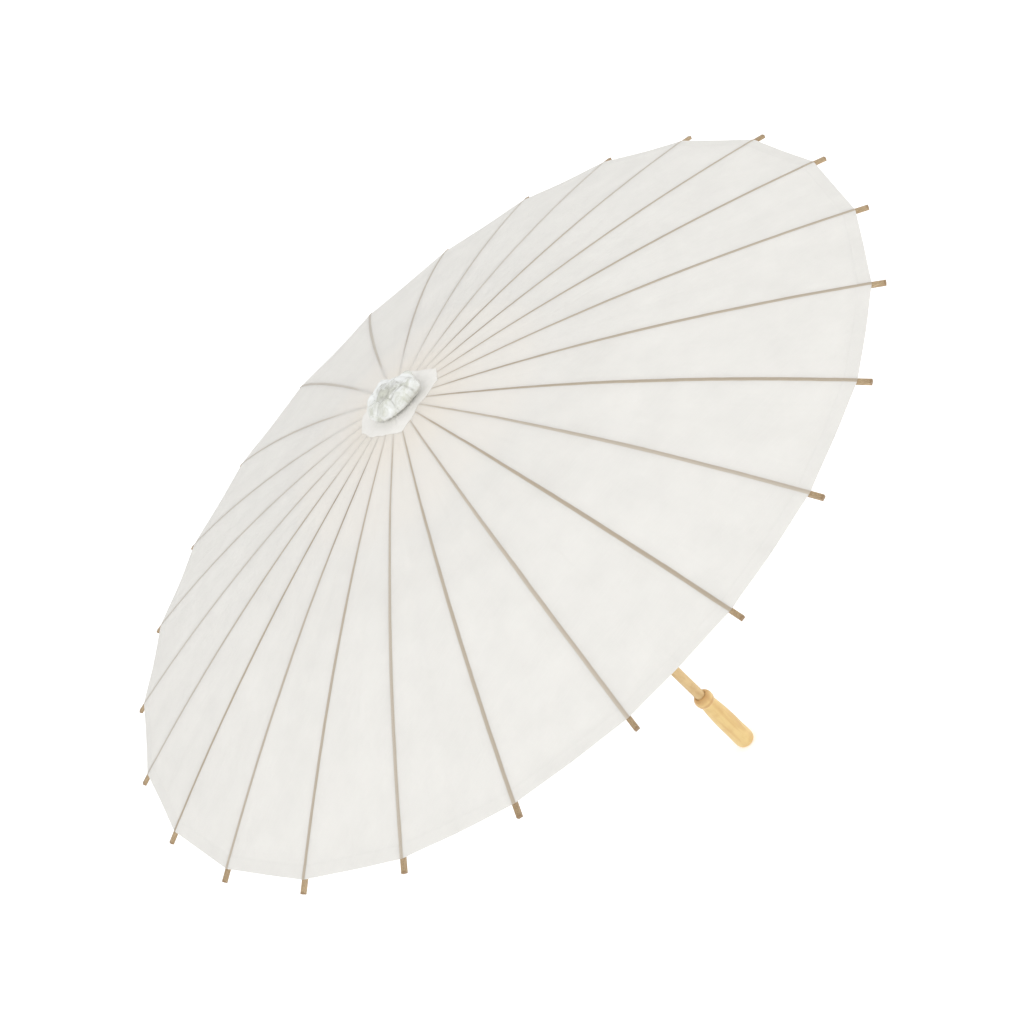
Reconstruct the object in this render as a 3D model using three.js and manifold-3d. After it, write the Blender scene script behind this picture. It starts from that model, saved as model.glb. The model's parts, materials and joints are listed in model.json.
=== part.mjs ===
// A folding oil paper umbrella, standing open on the end of its handle.
//
// Twenty-four bamboo ribs hang from a slotted wheel at the top of a wooden shaft, the top notch.
// Half-way out, each rib has a knuckle that a shorter bamboo stretcher swings in. The stretchers'
// other ends hang in a second slotted wheel, the runner, which slides along the shaft: pushed up
// it spreads the ribs, pulled down it folds them round the shaft. Rib pivots, knuckles and runner
// pivots form an isosceles triangle in each rib's plane, so the runner moves in a straight line.
//
// Millimetres. +Z runs up the shaft, and the origin is the middle of the handle's flat end.

import * as THREE from "three";
import { mergeVertices } from "three/addons/utils/BufferGeometryUtils.js";
import Module from "manifold-3d";

const wasm = await Module();
wasm.setup();

// ---- Driving dimensions ----

const GAP = 0.3; // left between pieces that rest on each other

const RIB_COUNT = 24;
const TIP_RADIUS = 404.4; // about 32 inches across the tips
const RIM_HEIGHT = 430; // the tips above the handle's end
const PAPER_RADIUS = 395; // to the paper's corners, which lie on the ribs
const PAPER_OPENING = 16.6; // round the top notch, to the corners of the paper's inner edge
const PAPER_THICKNESS = 0.8;

// The paper along a rib is one shallow curve, measured from the plane of the rib tips.
const CROWN_HEIGHT = 108;
const CROWN_SLOPE = 0.155;
const CROWN_BEND = 0.0002724;

const RIB_DEPTH = 3;
const RIB_WIDTH_AT_HUB = 2.4;
const RIB_WIDTH_AT_TIP = 3.9;
const RIB_FULL_WIDTH_RADIUS = 180;
const STRETCHER_DEPTH = 2.6;
const STRETCHER_WIDTH_AT_KNUCKLE = 3.4;
const STRETCHER_WIDTH_AT_RUNNER = 2.4;

const PIVOT_RADIUS = 13; // of the thread rings that the ribs and the stretchers hang on
const THREAD_RADIUS = 0.35;
const TONGUE_WIDTH = 1.3; // the thinned ends that sit in the wheels' slots
const TONGUE_END_RADIUS = 1.8;
const HUB_TONGUE_LENGTH = 4.6;
const THREAD_HOLE_RADIUS = 0.7;

const KNUCKLE_RADIUS = 203.5;
const KNUCKLE_DROP = 3.1; // the knuckle's pin below the rib's middle line
const KNUCKLE_EXTRA_WIDTH = 0.4;
const KNUCKLE_END_RADIUS = 1.6;
const KNUCKLE_TONGUE_LENGTH = 9;
const KNUCKLE_PIN_RADIUS = 0.5;
const KNUCKLE_HOLE_RADIUS = 0.95;

const WHEEL_RADIUS = 15.2;
const WHEEL_HALF_DEPTH = 2.2;
const SLOT_ROOT_RADIUS = 10.9;
const SLOT_WIDTH = 1.9;

const SHAFT_RADIUS = 5.2;
const SHAFT_BORE_RADIUS = 5.55; // through the runner, and into the top notch and the handle
const SHAFT_BOTTOM = 14; // sunk into the handle
const SHAFT_TOP = RIM_HEIGHT + 113;

const RUNNER_SLEEVE = 34; // the runner's sleeve below its pivots
const RUNNER_NECK = 6; // and its neck above them

const HANDLE_LENGTH = 84;
const HANDLE_END_RADIUS = 7;
const HANDLE_HEEL_RADIUS = 10;
const HANDLE_NECK_RADIUS = 8;
const HANDLE_NECK_HEIGHT = 69;
const BEAD_RADIUS = 9.6;
const BEAD_ROOT_RADIUS = 6.6; // where its round side would meet the axis line of its curve
const BEAD_HEIGHT = 77; // its middle
const BEAD_HALF_LENGTH = 6.5;

// The curve of the ribs and the paper is cut into straight stretches at these radii.
const STATIONS = [PAPER_OPENING, 70, 130, 190, 250, 310, 355, PAPER_RADIUS];

// ---- Heights and points in a rib's own plane, as radius and height above the rim ----

function paperHeight(radius) {
  return CROWN_HEIGHT - CROWN_SLOPE * radius - CROWN_BEND * radius * radius;
}

function paperSlope(radius) {
  return Math.atan(-CROWN_SLOPE - 2 * CROWN_BEND * radius);
}

function ribHeight(radius) {
  return paperHeight(radius) - PAPER_THICKNESS - GAP - RIB_DEPTH / 2;
}

function ribWidth(radius) {
  const share = Math.min(1, radius / RIB_FULL_WIDTH_RADIUS);
  return RIB_WIDTH_AT_HUB + (RIB_WIDTH_AT_TIP - RIB_WIDTH_AT_HUB) * share;
}

const ribPivot = new THREE.Vector2(PIVOT_RADIUS, ribHeight(PIVOT_RADIUS));
const knuckleSlope = paperSlope(KNUCKLE_RADIUS);
const knucklePivot = new THREE.Vector2(
  KNUCKLE_RADIUS + KNUCKLE_DROP * Math.sin(knuckleSlope),
  ribHeight(KNUCKLE_RADIUS) - KNUCKLE_DROP * Math.cos(knuckleSlope),
);
const runnerPivot = new THREE.Vector2(PIVOT_RADIUS, 2 * knucklePivot.y - ribPivot.y);
const armLength = ribPivot.distanceTo(knucklePivot);

// ---- Solids: three.js geometry in and out, joined and cut as closed solids ----

function solid(geometry) {
  const bare = geometry.clone();
  bare.deleteAttribute("normal");
  bare.deleteAttribute("uv");
  const merged = mergeVertices(bare, 1e-4);
  const corners = merged.index.array;
  const triangles = [];
  for (let i = 0; i < corners.length; i += 3) {
    const [a, b, c] = corners.subarray(i, i + 3);
    if (a !== b && b !== c && c !== a) triangles.push(a, b, c);
  }
  const mesh = new wasm.Mesh({
    numProp: 3,
    vertProperties: Float32Array.from(merged.attributes.position.array),
    triVerts: Uint32Array.from(triangles),
  });
  return new wasm.Manifold(mesh);
}

function geometryOf(made) {
  const mesh = made.getMesh();
  const geometry = new THREE.BufferGeometry();
  geometry.setAttribute("position", new THREE.BufferAttribute(mesh.vertProperties, 3));
  geometry.setIndex(new THREE.BufferAttribute(mesh.triVerts, 1));
  geometry.computeVertexNormals();
  return geometry;
}

function joined(...geometries) {
  return geometries.map(solid).reduce((all, next) => all.add(next));
}

function cut(made, ...tools) {
  return tools.reduce((left, tool) => left.subtract(solid(tool)), made);
}

/** A round body about Z. Its outline of [radius, height] points runs anticlockwise. */
function turned(outline, segments = RIB_COUNT) {
  const points = outline.map(([radius, height]) => new THREE.Vector2(radius, height));
  return new THREE.LatheGeometry(points, segments).rotateX(Math.PI / 2);
}

/** A flat plate in the XY plane, its middle plane at Z = 0. */
function plate(outline, width) {
  const options = { depth: width, bevelEnabled: false, curveSegments: 3 };
  return new THREE.ExtrudeGeometry(outline, options).translate(0, 0, -width / 2);
}

/** A round peg along Z, its middle at Z = 0. */
function peg(radius, length, sides = 6) {
  return new THREE.CylinderGeometry(radius, radius, length, sides).rotateX(Math.PI / 2);
}

/** A bar in the XY plane through four-cornered sections. */
function bar(sections) {
  const corners = [];
  for (const { x, y, slope, width, depth } of sections) {
    const rise = new THREE.Vector2(-Math.sin(slope), Math.cos(slope)).multiplyScalar(depth / 2);
    for (const [side, up] of [[1, 1], [-1, 1], [-1, -1], [1, -1]]) {
      corners.push(x + up * rise.x, y + up * rise.y, (side * width) / 2);
    }
  }
  const last = 4 * (sections.length - 1);
  const faces = [0, 1, 2, 0, 2, 3, last, last + 2, last + 1, last, last + 3, last + 2];
  for (let start = 0; start < last; start += 4) {
    for (let k = 0; k < 4; k += 1) {
      const a = start + k;
      const b = start + ((k + 1) % 4);
      faces.push(b, a, a + 4, b, a + 4, b + 4);
    }
  }
  const geometry = new THREE.BufferGeometry();
  geometry.setAttribute("position", new THREE.Float32BufferAttribute(corners, 3));
  geometry.setIndex(faces);
  return geometry;
}

/** The thinned end of a bar, with its round end about the pivot at the origin, along +X. */
function tongue(endRadius, halfDepth, length) {
  const outline = new THREE.Shape();
  outline.absarc(0, 0, endRadius, Math.PI / 2, (3 * Math.PI) / 2, false);
  outline.lineTo(length, -halfDepth);
  outline.lineTo(length, halfDepth);
  return plate(outline, TONGUE_WIDTH);
}

/** Turns a body from the rib's own XY plane into the plane of radius X and height Z. */
function upright(made) {
  return geometryOf(made).rotateX(Math.PI / 2);
}

// ---- Bamboo frame ----

const TONGUE_OVERLAP = 1.5; // how far a tongue runs into its bar
const TONGUE_HALF_DEPTH = 1.2;
const STRETCHER_TONGUE_HALF_DEPTH = 1.1;
const KNUCKLE_SLOT_LENGTH = 20;
const KNUCKLE_SLOT_DEPTH = 6;

// The knuckle's lug under the rib, in lengths along the rib and heights over its pin.
const LUG_HALF_LENGTH = 8;
const LUG_HALF_FLAT = 3.4;
const LUG_FOOT = -1.9;
const LUG_SHOULDER = 1.2;
const LUG_TOP = 2.6;

function ribGeometry() {
  const inner = PIVOT_RADIUS + HUB_TONGUE_LENGTH;
  const radii = [inner, ...STATIONS.slice(1), TIP_RADIUS];
  const body = bar(radii.map((x) => ({
    x,
    y: ribHeight(x),
    slope: paperSlope(x),
    width: ribWidth(x),
    depth: RIB_DEPTH,
  })));

  const hubTongue = tongue(TONGUE_END_RADIUS, TONGUE_HALF_DEPTH, HUB_TONGUE_LENGTH + TONGUE_OVERLAP);
  hubTongue.rotateZ(paperSlope(PIVOT_RADIUS)).translate(ribPivot.x, ribPivot.y, 0);
  const threadHole = peg(THREAD_HOLE_RADIUS, 2 * TONGUE_WIDTH).translate(ribPivot.x, ribPivot.y, 0);

  const knuckleWidth = ribWidth(KNUCKLE_RADIUS) + KNUCKLE_EXTRA_WIDTH;
  const lug = new THREE.Shape();
  lug.moveTo(-LUG_HALF_LENGTH, LUG_SHOULDER);
  lug.lineTo(-LUG_HALF_FLAT, LUG_FOOT);
  lug.lineTo(LUG_HALF_FLAT, LUG_FOOT);
  lug.lineTo(LUG_HALF_LENGTH, LUG_SHOULDER);
  lug.lineTo(LUG_HALF_LENGTH, LUG_TOP);
  lug.lineTo(-LUG_HALF_LENGTH, LUG_TOP);
  const slot = new THREE.BoxGeometry(KNUCKLE_SLOT_LENGTH, KNUCKLE_SLOT_DEPTH, SLOT_WIDTH);
  slot.translate(0, KNUCKLE_END_RADIUS + GAP - KNUCKLE_SLOT_DEPTH / 2, 0);
  const pin = peg(KNUCKLE_PIN_RADIUS, SLOT_WIDTH + 1);

  const atKnuckle = [plate(lug, knuckleWidth), slot, pin];
  for (const shape of atKnuckle) {
    shape.rotateZ(knuckleSlope).translate(knucklePivot.x, knucklePivot.y, 0);
  }
  const [knuckle, knuckleSlot, knucklePin] = atKnuckle;
  const slotted = cut(joined(body, hubTongue, knuckle), threadHole, knuckleSlot);
  return upright(slotted.add(solid(knucklePin)));
}

/** A stretcher lies along +X from its knuckle end while it is made, then turns into place. */
function stretcherGeometry() {
  const innerEnd = armLength - HUB_TONGUE_LENGTH;
  const body = bar([
    {
      x: KNUCKLE_TONGUE_LENGTH,
      y: 0,
      slope: 0,
      width: STRETCHER_WIDTH_AT_KNUCKLE,
      depth: STRETCHER_DEPTH,
    },
    { x: innerEnd, y: 0, slope: 0, width: STRETCHER_WIDTH_AT_RUNNER, depth: STRETCHER_DEPTH },
  ]);
  const outerTongue = tongue(
    KNUCKLE_END_RADIUS,
    STRETCHER_TONGUE_HALF_DEPTH,
    KNUCKLE_TONGUE_LENGTH + TONGUE_OVERLAP,
  );
  const innerTongue = tongue(
    TONGUE_END_RADIUS,
    STRETCHER_TONGUE_HALF_DEPTH,
    HUB_TONGUE_LENGTH + TONGUE_OVERLAP,
  );
  innerTongue.rotateZ(Math.PI).translate(armLength, 0, 0);
  const pinHole = peg(KNUCKLE_HOLE_RADIUS, 2 * TONGUE_WIDTH);
  const threadHole = peg(THREAD_HOLE_RADIUS, 2 * TONGUE_WIDTH).translate(armLength, 0, 0);
  const made = cut(joined(body, outerTongue, innerTongue), pinHole, threadHole);

  const inward = runnerPivot.clone().sub(knucklePivot);
  const placed = geometryOf(made).rotateZ(inward.angle());
  return placed.translate(knucklePivot.x, knucklePivot.y, 0).rotateX(Math.PI / 2);
}

/** A turned wheel with a slot for each tongue and a tunnel for the ring of thread. */
function slottedWheel(outline, pivotHeight) {
  const slotLength = WHEEL_RADIUS - SLOT_ROOT_RADIUS + 2;
  const slots = [];
  for (let k = 0; k < RIB_COUNT; k += 1) {
    const slot = new THREE.BoxGeometry(slotLength, SLOT_WIDTH, 4 * WHEEL_HALF_DEPTH);
    slot.translate(SLOT_ROOT_RADIUS + slotLength / 2, 0, pivotHeight);
    slots.push(slot.rotateZ((k / RIB_COUNT) * 2 * Math.PI));
  }
  const tunnel = new THREE.TorusGeometry(PIVOT_RADIUS, THREAD_HOLE_RADIUS, 4, RIB_COUNT);
  tunnel.translate(0, 0, pivotHeight);
  return geometryOf(cut(solid(turned(outline)), ...slots, tunnel));
}

function topNotchGeometry() {
  const z = ribPivot.y;
  const bore = SHAFT_BORE_RADIUS;
  const boreTop = SHAFT_TOP - RIM_HEIGHT + GAP;
  const outline = [
    [bore, z - 9],
    [9, z - 9],
    [10.2, z - 7.5],
    [10.2, z - WHEEL_HALF_DEPTH],
    [WHEEL_RADIUS, z - WHEEL_HALF_DEPTH],
    [WHEEL_RADIUS, z + WHEEL_HALF_DEPTH],
    [10.6, z + WHEEL_HALF_DEPTH],
    [10.6, z + 5.5],
    [13, z + 7],
    [13, z + 11],
    [9, z + 13.5],
    [0, z + 14.5],
    [0, boreTop],
    [bore, boreTop],
    [bore, z - 9],
  ];
  return slottedWheel(outline, z);
}

function runnerGeometry() {
  const z = runnerPivot.y;
  const bore = SHAFT_BORE_RADIUS;
  const outline = [
    [bore, z - RUNNER_SLEEVE],
    [10.2, z - RUNNER_SLEEVE],
    [11, z - RUNNER_SLEEVE + 1.5],
    [11, z - RUNNER_SLEEVE + 5],
    [9.4, z - RUNNER_SLEEVE + 7],
    [9.4, z - 8],
    [10.4, z - 5],
    [10.4, z - WHEEL_HALF_DEPTH],
    [WHEEL_RADIUS, z - WHEEL_HALF_DEPTH],
    [WHEEL_RADIUS, z + WHEEL_HALF_DEPTH],
    [10.2, z + WHEEL_HALF_DEPTH],
    [9.4, z + RUNNER_NECK],
    [bore, z + RUNNER_NECK],
    [bore, z - RUNNER_SLEEVE],
  ];
  return slottedWheel(outline, z);
}

function threadRing(height) {
  const ring = new THREE.TorusGeometry(PIVOT_RADIUS, THREAD_RADIUS, 4, RIB_COUNT);
  return ring.translate(0, 0, height);
}

// ---- Paper and cap ----

/** The paper's corners lie on the ribs, and it is straight from each rib to the next. */
function canopyGeometry() {
  const top = STATIONS.map((radius) => [radius, paperHeight(radius)]);
  const under = top.map(([radius, height]) => [radius, height - PAPER_THICKNESS]);
  return turned([...under, ...top.reverse(), under[0]]);
}

const CAP_SKIRT_RADIUS = 40;
const CAP_NECK_RADIUS = 17.2;
const CAP_NECK_HEIGHT = 109.2;

/** The gathered paper wrap over the top notch: a low bun, a tied neck and a skirt on the canopy. */
function capGeometry() {
  return turned([
    [CAP_SKIRT_RADIUS, 102.3],
    [CAP_SKIRT_RADIUS, 103.5],
    [28, 105.9],
    [CAP_NECK_RADIUS, 108.2],
    [CAP_NECK_RADIUS, 110.2],
    [23.5, 110.9],
    [25.8, 112.7],
    [25.2, 115],
    [20.8, 118.4],
    [12.2, 120.4],
    [0, 121],
    [0, 119.7],
    [11.8, 119.1],
    [20, 117.3],
    [23.9, 114.5],
    [24.4, 113],
    [22.9, 112.1],
    [16, 111.4],
    [16, 107.6],
    [28, 104.6],
    [CAP_SKIRT_RADIUS, 102.3],
  ]);
}

function capTieGeometry() {
  const ring = new THREE.TorusGeometry(CAP_NECK_RADIUS + 1, 0.6, 5, RIB_COUNT);
  return ring.translate(0, 0, CAP_NECK_HEIGHT);
}

// ---- Shaft, catch and handle, in heights above the handle's end ----

const CATCH_WIDTH = 2;
const CATCH_PIN_RADIUS = 0.6;
const CATCH_PIN_OFFSET = 2.2; // from the shaft's axis, towards the side the catch springs out of
const catchTop = RIM_HEIGHT + runnerPivot.y - RUNNER_SLEEVE - 2 * GAP;
const catchPinHeight = catchTop - 33;
const stopPegHeight = RIM_HEIGHT + runnerPivot.y + RUNNER_NECK + 3;
const CATCH_PIN_LENGTH = 8;
const STOP_PEG_RADIUS = 1.25;
const STOP_PEG_LENGTH = 15.6;
const CATCH_SLOT_FLOOR = -2.6; // the slot's floor, past the shaft's axis
const CROSS_HOLE_LENGTH = 14;
const CATCH_EYE_RADIUS = 1.6;
const CATCH_SHOULDER_REACH = 5.4; // from the pin, where the shoulder holds the runner up
const CATCH_SHOULDER_DEPTH = 1.2;

function shaftGeometry() {
  const length = SHAFT_TOP - SHAFT_BOTTOM;
  const rod = new THREE.CylinderGeometry(SHAFT_RADIUS, SHAFT_RADIUS, length, RIB_COUNT);
  rod.rotateX(Math.PI / 2).translate(0, 0, SHAFT_BOTTOM + length / 2);
  const slotMouth = SHAFT_RADIUS + 1;
  const slotBottom = catchPinHeight - 4;
  const slotHeight = catchTop + 2 - slotBottom;
  const slot = new THREE.BoxGeometry(slotMouth - CATCH_SLOT_FLOOR, CATCH_WIDTH + 2 * GAP, slotHeight);
  slot.translate((slotMouth + CATCH_SLOT_FLOOR) / 2, 0, slotBottom + slotHeight / 2);
  const pinHole = crossPeg(
    CATCH_PIN_RADIUS + GAP,
    CROSS_HOLE_LENGTH,
    CATCH_PIN_OFFSET,
    catchPinHeight,
  );
  const pegHole = crossPeg(STOP_PEG_RADIUS + GAP, CROSS_HOLE_LENGTH, 0, stopPegHeight);
  return geometryOf(cut(solid(rod), slot, pinHole, pegHole));
}

/** A strip of spring metal: an eye on its pin, a ramp out of the shaft and a flat shoulder. */
function catchGeometry() {
  const rise = catchTop - catchPinHeight;
  const strip = new THREE.Shape();
  strip.absarc(0, 0, CATCH_EYE_RADIUS, Math.PI * 0.75, Math.PI * 2.1, false);
  strip.lineTo(CATCH_SHOULDER_REACH, rise - 4);
  strip.lineTo(CATCH_SHOULDER_REACH - 0.2, rise);
  strip.lineTo(-0.6, rise);
  strip.lineTo(-0.6, rise - CATCH_SHOULDER_DEPTH);
  strip.lineTo(CATCH_SHOULDER_REACH - 1.4, rise - CATCH_SHOULDER_DEPTH);
  strip.lineTo(CATCH_SHOULDER_REACH - 1.2, rise - 4);
  strip.lineTo(0.6, 4.5);
  const eye = peg(CATCH_PIN_RADIUS + GAP, 2 * CATCH_WIDTH, 8);
  const made = cut(solid(plate(strip, CATCH_WIDTH)), eye);
  return upright(made).translate(CATCH_PIN_OFFSET, 0, catchPinHeight);
}

function crossPeg(radius, length, x, height) {
  return new THREE.CylinderGeometry(radius, radius, length, 8).translate(x, 0, height);
}

/** A turned grip: a flat end, a long swelling, a neck and a collar bead under the shaft. */
function handleGeometry() {
  const outline = new THREE.Path();
  outline.moveTo(0, 0);
  outline.lineTo(HANDLE_END_RADIUS, 0);
  outline.quadraticCurveTo(HANDLE_HEEL_RADIUS - 0.3, 0.4, HANDLE_HEEL_RADIUS, 6);
  outline.bezierCurveTo(9.5, 24, 10.2, 44, HANDLE_NECK_RADIUS, HANDLE_NECK_HEIGHT);
  const beadSwell = BEAD_RADIUS - BEAD_ROOT_RADIUS;
  const beadStart = -Math.acos((HANDLE_NECK_RADIUS - BEAD_ROOT_RADIUS) / beadSwell);
  const beadEnd = (5 / 12) * Math.PI;
  outline.absellipse(
    BEAD_ROOT_RADIUS,
    BEAD_HEIGHT,
    beadSwell,
    BEAD_HALF_LENGTH,
    beadStart,
    beadEnd,
    false,
  );
  outline.lineTo(BEAD_ROOT_RADIUS, HANDLE_LENGTH);
  outline.lineTo(SHAFT_BORE_RADIUS, HANDLE_LENGTH);
  outline.lineTo(SHAFT_BORE_RADIUS, SHAFT_BOTTOM - GAP);
  outline.lineTo(0, SHAFT_BOTTOM - GAP);
  const points = outline.getPoints(3).map((p) => [Math.max(0, p.x), p.y]);
  return geometryOf(solid(turned(points)));
}

// ---- Assembly ----

const BAMBOO = { color: 0xc9b28f, roughness: 0.6, metalness: 0 };
const WOOD = { color: 0xe1c594, roughness: 0.5, metalness: 0 };
const SHAFT_WOOD = { color: 0xcfb48a, roughness: 0.55, metalness: 0 };
const PAPER = { color: 0xecebe8, roughness: 0.8, metalness: 0 };
const CAP_PAPER = { color: 0xe2e4e2, roughness: 0.35, metalness: 0 };
const THREAD = { color: 0xd8cfbf, roughness: 0.9, metalness: 0 };
const SPRING_STEEL = { color: 0x9a9c9e, roughness: 0.35, metalness: 1 };

function addPiece(parent, name, geometry, finish) {
  const mesh = new THREE.Mesh(geometry, new THREE.MeshStandardMaterial(finish));
  mesh.name = name;
  parent.add(mesh);
  return mesh;
}

const umbrella = new THREE.Group();
addPiece(umbrella, "handle", handleGeometry(), WOOD);
addPiece(umbrella, "shaft", shaftGeometry(), SHAFT_WOOD);
addPiece(umbrella, "catch_spring", catchGeometry(), SPRING_STEEL);
const catchPin = crossPeg(CATCH_PIN_RADIUS, CATCH_PIN_LENGTH, CATCH_PIN_OFFSET, catchPinHeight);
addPiece(umbrella, "catch_pin", catchPin, SPRING_STEEL);
const stopPeg = crossPeg(STOP_PEG_RADIUS, STOP_PEG_LENGTH, 0, stopPegHeight);
addPiece(umbrella, "stop_peg", stopPeg, WOOD);

const crown = new THREE.Group();
crown.position.z = RIM_HEIGHT;
umbrella.add(crown);
addPiece(crown, "top_notch", topNotchGeometry(), WOOD);
addPiece(crown, "notch_thread", threadRing(ribPivot.y), THREAD);
addPiece(crown, "runner", runnerGeometry(), WOOD);
addPiece(crown, "runner_thread", threadRing(runnerPivot.y), THREAD);
addPiece(crown, "canopy", canopyGeometry(), PAPER);
addPiece(crown, "cap_cover", geometryOf(solid(capGeometry())), CAP_PAPER);
addPiece(crown, "cap_tie", capTieGeometry(), THREAD);

const ribShape = ribGeometry();
const stretcherShape = stretcherGeometry();
for (let k = 0; k < RIB_COUNT; k += 1) {
  const spoke = new THREE.Group();
  spoke.rotation.z = (k / RIB_COUNT) * 2 * Math.PI;
  crown.add(spoke);
  const number = String(k + 1).padStart(2, "0");
  addPiece(spoke, `rib_${number}`, ribShape, BAMBOO);
  addPiece(spoke, `stretcher_${number}`, stretcherShape, BAMBOO);
}

export default umbrella;
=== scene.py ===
"""A folding oil paper umbrella: paper, bamboo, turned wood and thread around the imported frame.

Metres, in the frame's axes: +Z runs up the shaft and rib_01 lies along +X. The paper is cut into
gores, one on each rib, so that it folds with the ribs.
"""

import json
import math

import bpy
import numpy as np
from mathutils import Matrix, Vector, noise


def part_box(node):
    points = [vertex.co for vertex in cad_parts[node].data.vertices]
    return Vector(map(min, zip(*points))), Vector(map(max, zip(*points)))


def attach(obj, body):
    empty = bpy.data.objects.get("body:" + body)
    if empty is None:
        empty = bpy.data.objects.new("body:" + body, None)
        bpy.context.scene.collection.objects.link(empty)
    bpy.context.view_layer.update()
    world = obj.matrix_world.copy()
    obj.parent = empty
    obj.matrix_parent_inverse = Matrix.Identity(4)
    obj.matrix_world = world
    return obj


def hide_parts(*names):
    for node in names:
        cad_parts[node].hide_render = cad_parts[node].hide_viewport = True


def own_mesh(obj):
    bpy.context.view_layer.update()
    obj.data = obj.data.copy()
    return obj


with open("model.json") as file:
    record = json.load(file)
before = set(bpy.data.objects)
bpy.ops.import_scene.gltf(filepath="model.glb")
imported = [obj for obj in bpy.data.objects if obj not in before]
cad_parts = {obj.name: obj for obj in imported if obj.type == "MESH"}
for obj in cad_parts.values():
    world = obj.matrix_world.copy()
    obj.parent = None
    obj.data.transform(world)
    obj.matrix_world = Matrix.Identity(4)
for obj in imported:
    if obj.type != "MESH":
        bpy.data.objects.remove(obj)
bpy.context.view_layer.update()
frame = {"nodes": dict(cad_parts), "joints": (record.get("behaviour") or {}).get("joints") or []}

MM = 0.001
FOLD = "fold"  # the joint that every rib follows
RIBS = sum(name.startswith("rib_") for name in frame["nodes"])
PITCH = 2 * math.pi / RIBS
HALF_PITCH = PITCH / 2

# ---- Sizes from the frame ----

PAPER_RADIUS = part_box("canopy")[1].x
CAP_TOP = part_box("cap_cover")[1].z
PIVOT = Vector(next(j["pos_m"] for j in frame["joints"] if j["name"] == FOLD))

# ---- Sizes repeated from the CAD source ----

TIP_RADIUS = 404.4 * MM
RIM_Z = 430 * MM
CROWN_HEIGHT, CROWN_SLOPE, CROWN_BEND = 108 * MM, 0.155, 0.2724

# ---- Paper ----

PAPER_THICKNESS = 0.3 * MM
PAPER_DROP = 0.6 * MM  # from the CAD solid's outer face down to the paper's
PAPER_OPENING = 16.8 * MM
HEM_WIDTH = 10 * MM
HEM_STEP = 0.4 * MM  # over which the hem's extra thickness begins
HEM_RISE = 0.12 * MM  # the folded edge is one sheet thicker
PANEL_SAGS = np.random.default_rng(11).uniform(0.5, 1.3, RIBS) * MM  # at the rim, between ribs
BROAD_RIPPLES, BROAD_HEIGHT = 16, 0.35  # per metre, and in millimetres
FINE_RIPPLES, FINE_HEIGHT = 55, 0.12


def paper_height(radius):
    """The paper's outer face over a rib."""
    crown = CROWN_HEIGHT - CROWN_SLOPE * radius - CROWN_BEND * radius * radius
    return RIM_Z + crown - PAPER_DROP


def smooth(low, high, value):
    """0 below low, 1 above high and a smooth step between them."""
    share = np.clip((value - low) / (high - low), 0, 1)
    return share * share * (3 - 2 * share)


def turned_about_z(points, angle):
    """Points in a rib's own frame, X outwards, turned to its place round the shaft."""
    cosine, sine = math.cos(angle), math.sin(angle)
    x, y, z = points[..., 0], points[..., 1], points[..., 2]
    return np.stack([x * cosine - y * sine, x * sine + y * cosine, z], axis=-1)


def mesh_object(name, vertices, faces):
    """A smooth-shaded mesh in the scene."""
    mesh = bpy.data.meshes.new(name)
    mesh.from_pydata([tuple(v) for v in vertices], [], [tuple(f) for f in faces])
    mesh.update()
    mesh.polygons.foreach_set("use_smooth", [True] * len(mesh.polygons))
    made = bpy.data.objects.new(name, mesh)
    bpy.context.scene.collection.objects.link(made)
    return made


def shell(name, top, bottom):
    """A thin closed sheet between two grids of points, the first one facing out."""
    rows, columns = top.shape[:2]
    count = rows * columns
    faces, creased = [], set()
    for i in range(rows - 1):
        for j in range(columns - 1):
            a, b = i * columns + j, i * columns + j + 1
            c, d = a + columns, b + columns
            faces.append((a, c, d, b))
            faces.append((a + count, b + count, d + count, c + count))
    loop = [(0, j) for j in range(columns)]
    loop += [(i, columns - 1) for i in range(1, rows)]
    loop += [(rows - 1, j) for j in range(columns - 2, -1, -1)]
    loop += [(i, 0) for i in range(rows - 2, 0, -1)]
    for (i, j), (k, m) in zip(loop, loop[1:] + loop[:1]):
        a, b = i * columns + j, k * columns + m
        faces.append((a, b, b + count, a + count))
        creased |= {frozenset((a, b)), frozenset((a + count, b + count))}
    made = mesh_object(name, np.concatenate([top.reshape(-1, 3), bottom.reshape(-1, 3)]), faces)
    for edge in made.data.edges:
        edge.use_edge_sharp = frozenset(edge.vertices) in creased
    return made


def lay_out(made, lateral, radial, index):
    """Stores where each point of a sheet lies on its flat cut, for the material to read."""
    values = np.stack([lateral, radial, np.full_like(lateral, index)], axis=-1)
    both = np.concatenate([values.reshape(-1, 3)] * 2).astype(np.float32)
    made.data.attributes.new("lay", "FLOAT_VECTOR", "POINT")
    made.data.attributes["lay"].data.foreach_set("vector", both.ravel())


def wrinkle(points, lateral):
    """Shallow ripples in the paper, none where it is glued to the ribs."""
    heights = np.zeros(lateral.shape)
    for at in np.ndindex(lateral.shape):
        x, y, _ = points[at]
        broad = noise.noise(Vector((x * BROAD_RIPPLES, y * BROAD_RIPPLES, 1.7)))
        fine = noise.noise(Vector((x * FINE_RIPPLES, y * FINE_RIPPLES, 5.1)))
        heights[at] = BROAD_HEIGHT * broad + FINE_HEIGHT * fine
    return heights * MM * smooth(3 * MM, 9 * MM, np.abs(lateral))


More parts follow.
